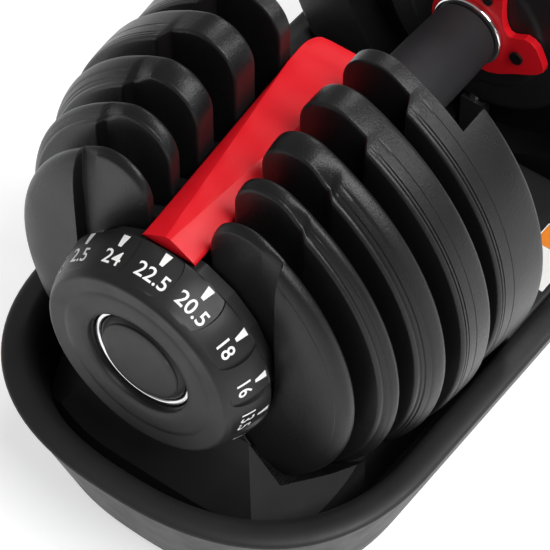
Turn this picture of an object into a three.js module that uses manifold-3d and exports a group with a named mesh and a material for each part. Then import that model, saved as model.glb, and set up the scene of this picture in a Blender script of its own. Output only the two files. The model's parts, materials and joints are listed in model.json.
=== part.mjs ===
// Adjustable dumbbell, docked in its tray.
// Millimetres, +Z up, +X along the shaft. The origin is on the table under the middle of the grip.
// Both ends of the dumbbell are the same set of pieces, so one end is built along +X and used twice.
import * as THREE from 'three';
import { mergeVertices } from 'three/addons/utils/BufferGeometryUtils.js';
import Module from 'manifold-3d';

// ---- driving dimensions ----
const axisHeight = 127;          // shaft axis above the table
const handGap = 100;             // between the two inner end plates
const plateGap = 8.6;            // between neighbouring weight plates
const slotHalfWidth = 16;        // slot that lets a plate stay behind while the shaft lifts out
const hubRadius = 13;            // sleeve that turns the selector discs
const rodRadius = 5.7;           // tie rod through the whole dumbbell
const tubeRadius = 14;           // steel handle tube
const discRadius = 49.5;         // selector discs
const recessRadius = 51.5;       // pocket in each plate that takes its selector disc
const lipInner = 46.3;           // selector lip, which carries the plate's tab
const lipDepth = 3.5;
const tabRadius = 45;            // lowest point of a plate's tab
const dialRadius = 54;
const dialWidth = 23.2;
const gripRadius = 17.4;
const clearance = 0.3;           // between pieces that touch
const innerFace = handGap / 2;

// Weight plates from the inside out: radius at the inner and the outer face, thickness, depth of
// the pocket in the outer face, and how far the rim stands towards the handle.
const plateSizes = [
  { name: 'plate_5', radius: 107.6, outerRadius: 105.3, thickness: 14.8, pocket: 7.4, wing: 16.5, carried: true },
  { name: 'plate_4', radius: 107.6, outerRadius: 106.2, thickness: 19.4, pocket: 5.3, wing: 0, carried: true },
  { name: 'plate_3', radius: 104.4, outerRadius: 97.2, thickness: 14.3, pocket: 2.7, wing: 0, carried: true },
  { name: 'plate_2', radius: 97.2, outerRadius: 90.4, thickness: 9.2, pocket: 2.2, wing: 0, carried: true },
  { name: 'plate_1', radius: 87.5, outerRadius: 77.5, thickness: 9.8, pocket: 5, wing: 0, carried: false },
];
const wingInnerRadius = 72;      // inside of the rim that stands towards the handle
const lobeRadius = 18;           // rounding of a plate's two lobes beside the slot
const rimBevel = 2.5;

// Tray
const trayHalfLength = 219.5;
const trayHalfWidth = 105.8;
const trayEndLength = 96;        // length of the rounded end
const trayEndExponent = 2.4;     // 2 is an ellipse, more is squarer
const rimHeight = 65.5;
const rimWidth = 14;
const seamHeight = 61;           // joint between the skirt and the liner
const trayFootHeight = 3;
const skirtWall = 3;
const basinFloor = 10;
const cradleHeight = 42;         // top of the ribs that hold the plates upright
const middleDeckHeight = 62.6;
const middleDeckHalfLength = 46;

// Curve resolution
const plateSegments = 40;
const turnedSegments = 20;
const dialSegments = 32;

// ---- solids ----
const wasm = await Module();
wasm.setup();

function toSolid(geometry) {
  const bare = geometry.clone();
  bare.deleteAttribute('normal');
  bare.deleteAttribute('uv');
  const merged = mergeVertices(bare, 1e-4);
  const vertProperties = new Float32Array(merged.attributes.position.array);
  const triVerts = new Uint32Array(merged.index.array);
  return new wasm.Manifold(new wasm.Mesh({ numProp: 3, vertProperties, triVerts }));
}

function toGeometry(solid) {
  const mesh = solid.getMesh();
  const geometry = new THREE.BufferGeometry();
  geometry.setAttribute('position', new THREE.BufferAttribute(mesh.vertProperties, 3));
  geometry.setIndex(new THREE.BufferAttribute(mesh.triVerts, 1));
  geometry.computeVertexNormals();
  return geometry;
}

const alongX = new THREE.Matrix4().makeBasis(
  new THREE.Vector3(0, 1, 0), new THREE.Vector3(0, 0, 1), new THREE.Vector3(1, 0, 0));

// A flat outline in (y, z), drawn out along X from x0 to x1. Heights are from the shaft axis.
function prism(shape, x0, x1, curveSegments = 10) {
  const options = { depth: x1 - x0, bevelEnabled: false, curveSegments };
  const geometry = new THREE.ExtrudeGeometry(shape, options);
  geometry.applyMatrix4(alongX);
  geometry.translate(x0, 0, 0);
  return toSolid(geometry);
}

// A profile of [radius, x] points, turned about the shaft axis. The profile closes on itself.
function turned(profile, segments = turnedSegments) {
  const points = [...profile, profile[0]].map(([radius, x]) => new THREE.Vector2(radius, x));
  const geometry = new THREE.LatheGeometry(points, segments);
  geometry.rotateZ(-Math.PI / 2);
  return toSolid(geometry);
}

// A tube about the shaft axis.
function tube(inner, outer, x0, x1, segments = turnedSegments) {
  return turned([[inner, x0], [outer, x0], [outer, x1], [inner, x1]], segments);
}

function box(x0, x1, y0, y1, z0, z1) {
  const geometry = new THREE.BoxGeometry(x1 - x0, y1 - y0, z1 - z0);
  geometry.translate((x0 + x1) / 2, (y0 + y1) / 2, (z0 + z1) / 2);
  return toSolid(geometry);
}

function upright(radius, x, y, z0, z1, segments = 16) {
  const geometry = new THREE.CylinderGeometry(radius, radius, z1 - z0, segments);
  geometry.rotateX(Math.PI / 2);
  geometry.translate(x, y, (z0 + z1) / 2);
  return toSolid(geometry);
}

function acrossX(radius, x0, x1, y, z, segments = 12) {
  const geometry = new THREE.CylinderGeometry(radius, radius, x1 - x0, segments);
  geometry.rotateZ(-Math.PI / 2);
  geometry.translate((x0 + x1) / 2, y, z);
  return toSolid(geometry);
}

// ---- materials ----
function material(color, roughness, metalness) {
  return new THREE.MeshStandardMaterial({ color, roughness, metalness });
}
const blackPlastic = material(0x232226, 0.55, 0);
const plateCoat = material(0x2a282d, 0.45, 0);
const redPlastic = material(0xd0161f, 0.4, 0);
const gripRubber = material(0x1d1c1f, 0.75, 0);
const polished = material(0xd8d8dc, 0.12, 1);
const steel = material(0x9a9ca0, 0.35, 1);
const greyPlastic = material(0x6c6c70, 0.5, 0);
const paper = material(0xf2f2ee, 0.6, 0);

const model = new THREE.Group();

function addMesh(group, name, solid, surface) {
  const mesh = new THREE.Mesh(toGeometry(solid), surface);
  mesh.name = name;
  group.add(mesh);
}

// ---- weight plates ----
// The slot in (y, z): round at the shaft, straight above it, and flared by the lobes' rounding.
function slotOutline(plateRadius) {
  const lobeY = slotHalfWidth + lobeRadius;
  const lobeZ = Math.sqrt((plateRadius - lobeRadius) ** 2 - lobeY ** 2);
  const leave = Math.atan2(lobeZ, lobeY);
  const beyond = plateRadius + 12;
  const shape = new THREE.Shape();
  shape.moveTo(slotHalfWidth, 0);
  shape.lineTo(slotHalfWidth, lobeZ);
  shape.absarc(lobeY, lobeZ, lobeRadius, Math.PI, leave, true);
  shape.lineTo(beyond * Math.cos(leave), beyond * Math.sin(leave));
  shape.lineTo(0, beyond);
  shape.lineTo(-beyond * Math.cos(leave), beyond * Math.sin(leave));
  shape.lineTo(-lobeY + lobeRadius * Math.cos(Math.PI - leave), lobeZ + lobeRadius * Math.sin(leave));
  shape.absarc(-lobeY, lobeZ, lobeRadius, Math.PI - leave, 0, true);
  shape.lineTo(-slotHalfWidth, 0);
  shape.absarc(0, 0, slotHalfWidth, Math.PI, 2 * Math.PI, false);
  return shape;
}

// A pocket that is round below the shaft and open above it, so a disc can lift out.
function pocketOutline(radius, top) {
  const shape = new THREE.Shape();
  shape.moveTo(radius, 0);
  shape.lineTo(radius, top);
  shape.lineTo(-radius, top);
  shape.lineTo(-radius, 0);
  shape.absarc(0, 0, radius, Math.PI, 2 * Math.PI, false);
  return shape;
}

function weightPlate(size, x0) {
  const { radius, outerRadius, thickness, pocket, wing } = size;
  const inner = x0 - wing;
  const outer = x0 + thickness;
  const shoulder = (radius - outerRadius) * 0.7;
  const rim = [[0, inner], [radius - rimBevel, inner], [radius, inner + rimBevel],
    [radius - shoulder, outer - rimBevel], [outerRadius - 1, outer], [0, outer]];
  let solid = turned(rim, plateSegments);
  solid = solid.subtract(prism(slotOutline(radius), inner - 1, outer + 1, 8));
  solid = solid.subtract(prism(pocketOutline(recessRadius, radius + 5), outer - pocket, outer + 1));
  if (wing > 0) {
    solid = solid.subtract(prism(pocketOutline(wingInnerRadius, radius + 5), inner - 1, x0));
    // The tray's release post stands in this notch.
    solid = solid.subtract(box(inner - 1, x0, -9, 9, -radius - 1, -wingInnerRadius + 5));
  }
  const floor = outer - pocket;
  const tab = box(floor - 1, floor + lipDepth - 0.3, -5, 5, -tabRadius, -tabRadius + 3.5);
  return solid.add(tab);
}

// ---- selector discs ----
// The lip runs round the disc's inner side and is missing where the disc lets its plate stay behind.
const discWeb = 4;
const lipGapAngle = THREE.MathUtils.degToRad(40);

function selectorDisc(floor, gapAt) {
  const lipStart = floor + 0.7;
  const webStart = lipStart + lipDepth;
  const web = tube(hubRadius + clearance, discRadius, webStart, webStart + discWeb);
  const lip = tube(lipInner, discRadius, lipStart, webStart + 1);
  const wedge = new THREE.Shape();
  const reach = discRadius * 1.6;
  wedge.moveTo(0, 0);
  wedge.lineTo(reach * Math.cos(gapAt - lipGapAngle), reach * Math.sin(gapAt - lipGapAngle));
  wedge.lineTo(reach * Math.cos(gapAt + lipGapAngle), reach * Math.sin(gapAt + lipGapAngle));
  return web.add(lip.subtract(prism(wedge, lipStart - 1, webStart)));
}

// ---- one end of the dumbbell, built towards +X ----
const plateStarts = [];
let plateStart = innerFace + plateSizes[0].wing;
for (const size of plateSizes) {
  plateStarts.push(plateStart);
  plateStart += size.thickness + plateGap;
}
const dialStart = plateStart - plateGap + 3.7;
const dialFace = dialStart + dialWidth;
const hubStart = innerFace + plateSizes[0].wing - 0.5;
const dialPocketFloor = dialStart + 12.5;

function dial() {
  const profile = [[7, dialStart], [dialRadius - 1, dialStart], [dialRadius, dialStart + 1.5],
    [dialRadius - 0.6, dialStart + 6], [dialRadius - 4.2, dialFace - 2.6], [dialRadius - 6.4, dialFace - 0.2],
    [dialRadius - 10, dialFace], [27.5, dialFace - 0.8], [26, dialFace - 2.4], [26, dialPocketFloor],
    [7, dialPocketFloor]];
  return turned(profile, dialSegments);
}

function trimRing() {
  const x = dialPocketFloor + clearance;
  return turned([[22.9, x], [25.6, x], [25.6, x + 4.6], [25, x + 5.8], [23.4, x + 5.8], [22.9, x + 5]], 30);
}

function dialCap() {
  const x = dialFace - 7;
  return turned([[0, x], [22.4, x], [22.4, x + 2.2], [19.8, x + 4.4], [0, x + 4.8]], 30);
}

// The bridge's spine: a roof at the dial, with a flat top that widens to the full width at the hand end.
function bridgeSpine() {
  const near = { x: dialStart - 1.6, half: 13.6, flat: 1.5, eave: 52.6, ridge: 58.8, bottom: 51.3 };
  const far = { x: innerFace, half: 14.4, flat: 13.6, eave: 71.2, ridge: 72, bottom: 58 };
  const positions = [];
  for (const end of [far, near]) {
    positions.push(end.x, -end.half, end.bottom, end.x, end.half, end.bottom, end.x, end.half, end.eave);
    positions.push(end.x, end.flat, end.ridge, end.x, -end.flat, end.ridge, end.x, -end.half, end.eave);
  }
  const index = [];
  for (let i = 0; i < 6; i += 1) {
    const next = (i + 1) % 6;
    index.push(i, next, next + 6, i, next + 6, i + 6);
  }
  for (let i = 1; i < 5; i += 1) {
    index.push(0, i + 1, i, 6, 6 + i, 7 + i);
  }
  const geometry = new THREE.BufferGeometry();
  geometry.setAttribute('position', new THREE.Float32BufferAttribute(positions, 3));
  geometry.setIndex(index);
  return toSolid(geometry);
}

const endPlateThickness = 4;
const earHoleY = 26.5;
const earHoleZ = -2.6;
const stripHoleZ = 24;
const stripHoleY = 9;

// The end plate is a strip under the spine, a ring round the collar, and an ear on the -y side.
function bridge() {
  const outline = new THREE.Shape();
  outline.moveTo(-14, 70);
  outline.lineTo(-16.5, 26);
  outline.quadraticCurveTo(-17, 14, -20, 7);
  outline.lineTo(-29, 11);
  outline.lineTo(-36.5, 8);
  outline.lineTo(-41, -2.5);
  outline.lineTo(-33.5, -10);
  outline.lineTo(-17.5, -19.4);
  outline.quadraticCurveTo(-2, -25, 12, -18);
  outline.quadraticCurveTo(20, -13, 21, 0);
  outline.quadraticCurveTo(20.5, 10, 16.5, 16);
  outline.lineTo(16.5, 26);
  outline.lineTo(14, 70);
  const plate = prism(outline, innerFace, innerFace + endPlateThickness, 5);
  let solid = bridgeSpine().add(plate);
  solid = solid.subtract(tube(0, tubeRadius + clearance, innerFace - 1, innerFace + 5));
  solid = solid.subtract(acrossX(2, innerFace - 1, innerFace + 5, -earHoleY, earHoleZ));
  for (const side of [-1, 1]) {
    solid = solid.subtract(acrossX(1.5, innerFace - 1, innerFace + 5, side * stripHoleY, stripHoleZ));
  }
  return solid;
}

const innerDiscRadius = 53;
const innerDiscStart = innerFace + endPlateThickness + 0.4;
const innerDiscEnd = innerFace + plateSizes[0].wing - 1;
const pinX = (innerDiscStart + innerDiscEnd) / 2;
const pinRadius = 2.9;
const pinTop = -40;
const springTop = -25;

function innerDisc() {
  const profile = [[tubeRadius + clearance, innerDiscStart], [37, innerDiscStart], [38, innerDiscStart + 1.6],
    [innerDiscRadius - 2, innerDiscStart + 2.2], [innerDiscRadius, innerDiscStart + 4], [innerDiscRadius, innerDiscEnd],
    [tubeRadius + clearance, innerDiscEnd]];
  let solid = turned(profile, turnedSegments);
  solid = solid.subtract(upright(pinRadius + clearance, pinX, 0, -innerDiscRadius - 5, springTop + clearance, 12));
  solid = solid.subtract(acrossX(2, innerDiscStart - 1, innerDiscStart + 6, -earHoleY, earHoleZ));
  for (const side of [-1, 1]) {
    solid = solid.subtract(acrossX(1.5, innerDiscStart - 1, innerDiscStart + 6, side * stripHoleY, stripHoleZ));
  }
  return solid;
}

// A screw from the hand side: a thin head on the red plate, and a shank down its hole.
function screw(shank, head, y, z) {
  const headSolid = acrossX(head, innerFace - 1.6, innerFace - clearance, y, z);
  const shankSolid = acrossX(shank - clearance, innerFace - 1, innerFace + 9, y, z);
  return headSolid.add(shankSolid);
}

// The lock pin's spring, as a closed coil of round wire.
function lockSpring() {
  const turns = 4;
  const wire = 0.45;
  const coilRadius = pinRadius - wire - 0.1;
  const bottom = pinTop + wire + 0.4;
  const length = springTop - pinTop - 2 * wire - 0.8;
  class Coil extends THREE.Curve {
    getPoint(t, target = new THREE.Vector3()) {
      const angle = 2 * Math.PI * turns * t;
      return target.set(pinX + coilRadius * Math.cos(angle), coilRadius * Math.sin(angle), bottom + length * t);
    }
  }
  const section = new THREE.Shape();
  section.absarc(0, 0, wire, 0, 2 * Math.PI, false);
  const options = { steps: 32, extrudePath: new Coil(), curveSegments: 2 };
  return toSolid(new THREE.ExtrudeGeometry(section, options));
}

function nut() {
  const x = dialPocketFloor + clearance;
  const hexagon = turned([[0, x], [9, x], [9, x + 3.4], [0, x + 3.4]], 6);
  return hexagon.subtract(turned([[0, x - 1], [rodRadius + clearance, x - 1], [rodRadius + clearance, x + 5], [0, x + 5]]));
}

function buildEnd(side) {
  const end = new THREE.Group();
  addMesh(end, `${side}_dial`, dial(), blackPlastic);
  addMesh(end, `${side}_trim_ring`, trimRing(), polished);
  addMesh(end, `${side}_dial_cap`, dialCap(), blackPlastic);
  addMesh(end, `${side}_hub_sleeve`, tube(rodRadius + 0.6, hubRadius, hubStart, dialStart - clearance), greyPlastic);
  plateSizes.forEach((size, i) => {
    const number = plateSizes.length - i;
    const floor = plateStarts[i] + size.thickness - size.pocket;
    const gapAt = size.carried ? Math.PI / 2 - 0.35 * i : -Math.PI / 2;
    addMesh(end, `${side}_${size.name}`, weightPlate(size, plateStarts[i]), plateCoat);
    addMesh(end, `${side}_selector_disc_${number}`, selectorDisc(floor, gapAt), greyPlastic);
  });
  addMesh(end, `${side}_bridge`, bridge(), redPlastic);
  addMesh(end, `${side}_inner_disc`, innerDisc(), blackPlastic);
  addMesh(end, `${side}_collar`, tube(tubeRadius + clearance, 18.6, innerFace - 3, innerFace - clearance), polished);
  addMesh(end, `${side}_lock_pin`, upright(pinRadius, pinX, 0, -innerDiscRadius - 1, pinTop, 12), steel);
  addMesh(end, `${side}_lock_spring`, lockSpring(), steel);
  addMesh(end, `${side}_rod_nut`, nut(), steel);
  addMesh(end, `${side}_ear_screw`, screw(2, 3.4, -earHoleY, earHoleZ), steel);
  addMesh(end, `${side}_strip_screw_1`, screw(1.5, 2.6, stripHoleY, stripHoleZ), steel);
  addMesh(end, `${side}_strip_screw_2`, screw(1.5, 2.6, -stripHoleY, stripHoleZ), steel);
  end.position.z = axisHeight;
  return end;
}

const leftEnd = buildEnd('left');
leftEnd.rotation.z = Math.PI;
model.add(leftEnd, buildEnd('right'));

// ---- handle ----
const handle = new THREE.Group();
handle.position.z = axisHeight;
const gripEnd = innerFace - 3.4;
const grip = [[tubeRadius + clearance, -gripEnd], [gripRadius - 1.2, -gripEnd], [gripRadius - 0.6, -gripEnd + 2],
  [gripRadius, -gripEnd * 0.5], [gripRadius, gripEnd * 0.5], [gripRadius - 0.6, gripEnd - 2],
  [gripRadius - 1.2, gripEnd], [tubeRadius + clearance, gripEnd]];
addMesh(handle, 'grip', turned(grip, 28), gripRubber);
addMesh(handle, 'handle_tube', tube(rodRadius + 0.8, tubeRadius, -innerDiscEnd + 0.4, innerDiscEnd - 0.4), steel);
const rodEnd = dialPocketFloor + 3.5;
addMesh(handle, 'tie_rod', turned([[0, -rodEnd], [rodRadius, -rodEnd], [rodRadius, rodEnd], [0, rodEnd]]), steel);
model.add(handle);

// ---- tray ----
// The tray's outline, drawn in by inset: straight sides and superellipse ends.
function trayOutline(inset) {
  const pointsPerEnd = 20;
  const a = trayEndLength - inset;
  const b = trayHalfWidth - inset;
  const straight = trayHalfLength - trayEndLength;
  const points = [];
  for (const side of [1, -1]) {
    for (let i = 0; i <= pointsPerEnd; i += 1) {
      const angle = -Math.PI / 2 + (Math.PI * i) / pointsPerEnd;
      const c = Math.abs(Math.cos(angle)) ** (2 / trayEndExponent);
      const s = Math.sign(Math.sin(angle)) * Math.abs(Math.sin(angle)) ** (2 / trayEndExponent);
      points.push([side * (straight + a * c), side * b * s]);
    }
  }
  return points;
}

// A solid through the tray's outline at each level, given as [height, inset] from the bottom up.
function loft(levels) {
  const positions = [];
  const index = [];
  const count = trayOutline(0).length;
  for (const [z, inset] of levels) {
    for (const [x, y] of trayOutline(inset)) positions.push(x, y, z);
  }
  for (let level = 0; level < levels.length - 1; level += 1) {
    for (let i = 0; i < count; i += 1) {
      const here = level * count + i;
      const next = level * count + ((i + 1) % count);
      index.push(here, next, next + count, here, next + count, here + count);
    }
  }
  const top = positions.length / 3 - count;
  const bottomCentre = positions.length / 3;
  positions.push(0, 0, levels[0][0], 0, 0, levels[levels.length - 1][0]);
  for (let i = 0; i < count; i += 1) {
    const next = (i + 1) % count;
    index.push(bottomCentre, next, i, bottomCentre + 1, top + i, top + next);
  }
  const geometry = new THREE.BufferGeometry();
  geometry.setAttribute('position', new THREE.Float32BufferAttribute(positions, 3));
  geometry.setIndex(index);
  return toSolid(geometry);
}

const skirtFootInset = 21;
const skirtTopInset = 1.2;
const skirtSlope = (skirtFootInset - skirtTopInset) / (seamHeight - trayFootHeight);

function skirt() {
  const shell = loft([[trayFootHeight, skirtFootInset + 1.5], [trayFootHeight + 1.5, skirtFootInset - 0.5],
    [seamHeight, skirtTopInset]]);
  const floorTop = trayFootHeight + skirtWall;
  const insetAtFloor = skirtFootInset + skirtWall - skirtWall * skirtSlope;
  return shell.subtract(loft([[floorTop, insetAtFloor], [seamHeight + 1, skirtTopInset + skirtWall - skirtSlope]]));
}

// Under each dial the cradle ends in a nose: two horns beside the dial, and a front that slopes down.
// Beside the outer plates the nose runs on as a terrace, which follows the plates' envelope.
const noseEnd = dialFace - 4.8;
const hornY = 40.5;
const hornZ = -50;
const hornFootY = 56;            // where the horn's side meets the terrace
const terraceZ = -67.5;
const terraceHalf = 75.8;
const terraceStart = 134;
const cradleHalf = 69;
const troughRadius = 58.5;       // the hollow under the dial
const hornStart = dialStart - 2.6;
const outside = 80;              // beyond the cradle on either side
const cradleTop = cradleHeight - axisHeight;
const cradleBottom = basinFloor - axisHeight - 1;

// The nose's plan, an outline of (x, y) mirrored in y, as a tall solid.
function planSolid() {
  const half = [[terraceStart, terraceHalf], [146, 75.6], [160, 73.2], [172, 69.6], [179.5, 65.5],
    [184.5, 59], [187.5, 50], [190, 34], [noseEnd, 12]];
  const shape = new THREE.Shape();
  shape.moveTo(terraceStart, 0);
  for (const [x, y] of half) shape.lineTo(x, y);
  for (const [x, y] of half.slice().reverse()) shape.lineTo(x, -y);
  shape.closePath();
  const plan = new THREE.ExtrudeGeometry(shape, { depth: 100, bevelEnabled: false });
  plan.translate(0, 0, cradleBottom);
  return toSolid(plan);
}

function nose() {
  const block = new THREE.Shape();
  block.moveTo(-outside, cradleBottom);
  block.lineTo(outside, cradleBottom);
  block.lineTo(outside, terraceZ);
  block.lineTo(hornFootY, terraceZ);
  block.lineTo(hornY, hornZ);
  const horn = Math.atan2(hornZ, hornY);
  block.lineTo(troughRadius * Math.cos(horn), troughRadius * Math.sin(horn));
  block.absarc(0, 0, troughRadius, horn, -Math.PI - horn, true);
  block.lineTo(-hornY, hornZ);
  block.lineTo(-hornFootY, terraceZ);
  block.lineTo(-outside, terraceZ);
  const terrace = box(terraceStart, hornStart + 0.5, -outside, outside, cradleBottom, terraceZ);
  const solid = prism(block, hornStart, noseEnd + 2, 12).add(terrace).intersect(planSolid());
  const slope = new THREE.Shape();
  slope.moveTo(dialStart - 2, hornZ);
  slope.lineTo(noseEnd + 1, cradleTop);
  slope.lineTo(noseEnd + 30, cradleTop);
  slope.lineTo(noseEnd + 30, hornZ + 30);
  slope.lineTo(dialStart - 2, hornZ + 30);
  const cutter = new THREE.ExtrudeGeometry(slope, { depth: 2 * outside, bevelEnabled: false });
  cutter.rotateX(Math.PI / 2);
  cutter.translate(0, outside, 0);
  return solid.subtract(toSolid(cutter)).subtract(overSlope(1)).subtract(overSlope(-1));
}

// What lies over the sloping side of the nose and terrace. The slope falls outwards and to the front.
function overSlope(side) {
  const fallX = 0.727;
  const fallY = 1.098;
  const block = new THREE.BoxGeometry(80, 80, 60);
  block.translate(hornStart, 60, 30);
  const points = block.getAttribute('position');
  for (let i = 0; i < points.count; i += 1) {
    const fall = fallX * (points.getX(i) - hornStart) + fallY * (points.getY(i) - hornY);
    points.setXYZ(i, points.getX(i), points.getY(i), points.getZ(i) + hornZ - fall);
  }
  const solid = toSolid(block);
  return side > 0 ? solid : solid.mirror([0, 1, 0]);
}

// The envelope of the outer plates, cut from the terrace.
function plateEnvelope() {
  const [, second, third, fourth, last] = plateSizes;
  const ends = plateSizes.map((size, i) => plateStarts[i] + size.thickness);
  return turned([[0, plateStarts[1]], [second.radius + 0.8, plateStarts[1]], [third.radius + 0.8, ends[2]],
    [fourth.radius + 0.8, ends[3]], [last.radius + 0.8, ends[4] + 0.5], [0, ends[4] + 0.5]], plateSegments);
}

// Ribs stand between the plates. A plate rests in the groove between two ribs.
function cradle() {
  const ribs = box(middleDeckHalfLength - 1, terraceStart + 1, -cradleHalf, cradleHalf, cradleBottom, cradleTop);
  const end = box(terraceStart, hornStart + 0.1, -cradleHalf, cradleHalf, cradleBottom, cradleTop);
  let solid = nose().subtract(plateEnvelope()).add(ribs).add(end);
  plateSizes.forEach((size, i) => {
    const start = plateStarts[i] - size.wing - 0.5;
    const stop = plateStarts[i] + size.thickness + 0.5;
    solid = solid.subtract(tube(0, size.radius + 0.6, start, stop, plateSegments));
  });
  return solid.translate([0, 0, axisHeight]);
}

function liner() {
  const outerInset = skirtTopInset + skirtWall + 0.4;
  const floorBottom = trayFootHeight + skirtWall + 0.4;
  const body = loft([[floorBottom, skirtFootInset + skirtWall + 0.4], [seamHeight + 0.3, outerInset]]);
  const rim = loft([[seamHeight + 0.3, 0.6], [seamHeight + 1.2, 0], [rimHeight - 1.6, 0.9],
    [rimHeight - 0.4, 3], [rimHeight, 6], [rimHeight, rimWidth]]);
  const basin = loft([[basinFloor, 28], [basinFloor + 3, 25], [rimHeight - 4, rimWidth + 2],
    [rimHeight - 1, rimWidth + 0.4], [rimHeight + 1, rimWidth - 0.6]]);
  const envelope = body.add(rim);
  const across = trayHalfWidth - rimWidth;
  const block = box(-middleDeckHalfLength, middleDeckHalfLength, -across, across, basinFloor - 1, middleDeckHeight);
  const deck = block.intersect(envelope);
  const half = cradle().intersect(envelope);
  return envelope.subtract(basin).add(deck).add(half).add(half.rotate([0, 0, 180]));
}

const tray = new THREE.Group();
addMesh(tray, 'tray_skirt', skirt(), blackPlastic);
addMesh(tray, 'tray_liner', liner(), blackPlastic);
const footX = 130;
const footY = 55;
const footNames = ['left_front', 'left_rear', 'right_front', 'right_rear'];
footNames.forEach((place, i) => {
  const x = i < 2 ? -footX : footX;
  const y = i % 2 === 0 ? -footY : footY;
  addMesh(tray, `${place}_foot`, upright(10, x, y, 0, trayFootHeight - clearance), gripRubber);
});
const postBottom = axisHeight - plateSizes[0].radius + clearance;
const postTop = axisHeight - innerDiscRadius - 1 - clearance;
for (const [side, sign] of [['left', -1], ['right', 1]]) {
  const x = sign * pinX;
  addMesh(tray, `${side}_release_post`, box(x - 3.6, x + 3.6, -6, 6, postBottom, postTop), greyPlastic);
}
const labelStart = -14;
const labelEnd = 22;
const labelFront = -88;
const labelBack = -68;
const labelBottom = middleDeckHeight + clearance;
addMesh(tray, 'label', box(labelStart, labelEnd, labelFront, labelBack, labelBottom, labelBottom + 0.4), paper);
model.add(tray);

export default model;
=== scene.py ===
# Adjustable dumbbell in its tray. Metres, +X along the shaft, +Z up, origin on the table under the grip.
# Lengths below are in millimetres where they are multiplied by MM.
# An end of the dumbbell is built in its own frame: u from the grip's middle outwards, y, and w up
# from the shaft. The right end has u along +X. The left end is the same end turned half a turn.
import json
import math

import bmesh
import bpy
from mathutils import Matrix, Vector
from mathutils.geometry import delaunay_2d_cdt


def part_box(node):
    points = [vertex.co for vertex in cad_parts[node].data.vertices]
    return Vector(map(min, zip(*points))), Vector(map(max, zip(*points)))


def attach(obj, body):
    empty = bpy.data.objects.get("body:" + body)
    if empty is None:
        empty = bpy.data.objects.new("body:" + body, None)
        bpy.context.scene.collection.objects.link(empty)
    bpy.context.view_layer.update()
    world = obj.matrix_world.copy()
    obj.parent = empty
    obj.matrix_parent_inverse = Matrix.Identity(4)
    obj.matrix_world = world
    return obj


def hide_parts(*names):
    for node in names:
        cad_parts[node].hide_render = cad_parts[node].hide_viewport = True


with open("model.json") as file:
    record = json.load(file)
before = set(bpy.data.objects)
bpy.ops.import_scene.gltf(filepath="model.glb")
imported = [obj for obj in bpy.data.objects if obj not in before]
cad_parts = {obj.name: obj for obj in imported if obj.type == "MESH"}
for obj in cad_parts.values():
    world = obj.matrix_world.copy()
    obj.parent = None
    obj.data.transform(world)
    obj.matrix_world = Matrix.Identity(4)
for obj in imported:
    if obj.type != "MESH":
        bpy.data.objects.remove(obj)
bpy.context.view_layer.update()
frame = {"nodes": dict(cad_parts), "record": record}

MM = 0.001
SIDES = ("left", "right")
TAU = 2 * math.pi


def span(node, axis):
    """The lowest and highest coordinate of a CAD node along an axis, in mm."""
    low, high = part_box(node)
    return low[axis] / MM, high[axis] / MM


# ---- sizes taken from the frame, in mm ----
DIAL_START, DIAL_FACE = span("right_dial", 0)
DIAL_RADIUS = (span("right_dial", 1)[1] - span("right_dial", 1)[0]) / 2
AXIS_HEIGHT = sum(span("grip", 2)) / 2
INNER_FACE = span("right_bridge", 0)[0]
GRIP_END = span("grip", 0)[1]
GRIP_RADIUS = span("grip", 1)[1]
TRAY_HALF_LENGTH = span("tray_liner", 0)[1]
TRAY_HALF_WIDTH = span("tray_liner", 1)[1]

SLOT_HALF = 16
LOBE_RADIUS = 18                       # the rounding of a plate beside its slot
POCKET_RADIUS = 51.5                   # the pocket that takes a selector disc
WING_INNER = 72                        # inside of the rim that stands towards the handle
BORE = 14.3                            # of everything that sits on the handle tube
PLATE_THICKNESS = {5: 31.3, 4: 19.4, 3: 14.3, 2: 9.2, 1: 9.8}
# Plate number: outer face radius, depth of the pocket, how far the rim stands inwards.
PLATES = {
    5: (105.3, 7.4, 16.5),
    4: (106.2, 5.3, 0),
    3: (97.2, 2.7, 0),
    2: (90.4, 2.2, 0),
    1: (77.5, 5, 0),
}


# ---- mesh helpers ----
def link(obj):
    bpy.context.scene.collection.objects.link(obj)
    return obj


def mesh_object(name, verts, faces):
    mesh = bpy.data.meshes.new(name)
    mesh.from_pydata([tuple(v) for v in verts], [], faces)
    mesh.validate()
    return link(bpy.data.objects.new(name, mesh))


def smooth(obj, angle=35):
    obj.data.shade_smooth()
    obj.data.set_sharp_from_angle(angle=math.radians(angle))
    return obj


def face_outwards(obj):
    bm = bmesh.new()
    bm.from_mesh(obj.data)
    bmesh.ops.recalc_face_normals(bm, faces=bm.faces)
    bm.to_mesh(obj.data)
    bm.free()
    return obj


def applied(obj):
    """Makes an object's modifiers part of its mesh."""
    graph = bpy.context.evaluated_depsgraph_get()
    mesh = bpy.data.meshes.new_from_object(obj.evaluated_get(graph))
    obj.modifiers.clear()
    obj.data = mesh
    return obj


def boolean(obj, other, operation):
    modifier = obj.modifiers.new("cut", "BOOLEAN")
    modifier.operation = operation
    modifier.solver = "EXACT"
    modifier.object = other
    applied(obj)
    bpy.data.objects.remove(other)
    return obj


def cut(obj, *others):
    for other in others:
        boolean(obj, other, "DIFFERENCE")
    return obj


def join(obj, *others):
    for other in others:
        boolean(obj, other, "UNION")
    return obj


def bevelled(obj, width, angle=35, segments=2):
    modifier = obj.modifiers.new("bevel", "BEVEL")
    modifier.width = width * MM
    modifier.segments = segments
    modifier.limit_method = "ANGLE"
    modifier.angle_limit = math.radians(angle)
    modifier.use_clamp_overlap = True
    modifier.miter_outer = "MITER_ARC"
    return applied(obj)


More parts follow.
